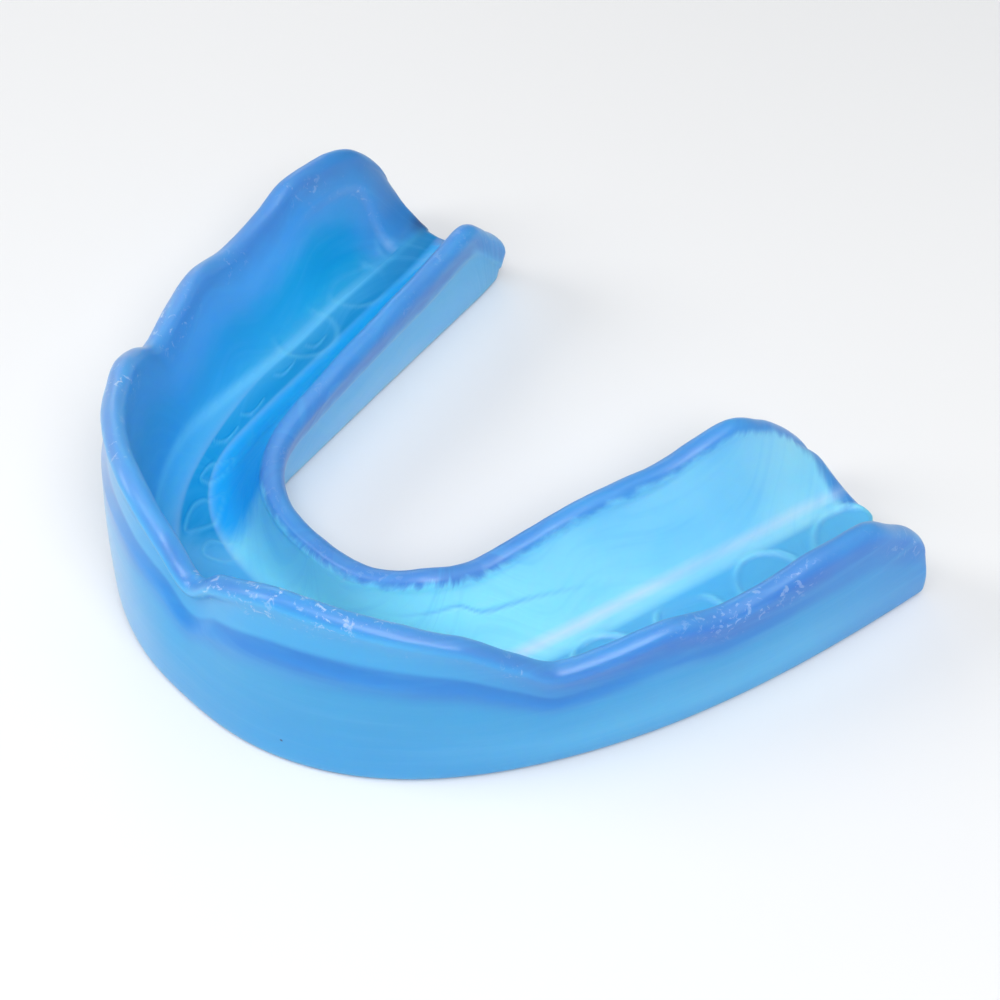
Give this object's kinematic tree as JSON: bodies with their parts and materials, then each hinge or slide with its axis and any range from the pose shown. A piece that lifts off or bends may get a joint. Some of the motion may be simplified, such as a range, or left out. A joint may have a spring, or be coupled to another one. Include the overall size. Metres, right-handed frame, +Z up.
{
  "type": "mouthguard",
  "caption": "One-piece flexible mouthguard: an open U-shaped trough with a waved lip-side wall, a thin bite floor and a lower tongue-side wall.",
  "frame": {"origin": "middle of the flat underside, at the bottom centre of the part's box", "axes": "+Z up out of the trough, -Y towards the lips, +Y out of the open back of the arch, +X along the width"},
  "size_m": [0.06, 0.0466, 0.0156],
  "materials": {
    "eva": "translucent blue EVA, satin with soft highlights"
  },
  "bodies": {
    "root": {"mouthguard": "eva"}
  },
  "joints": []
}
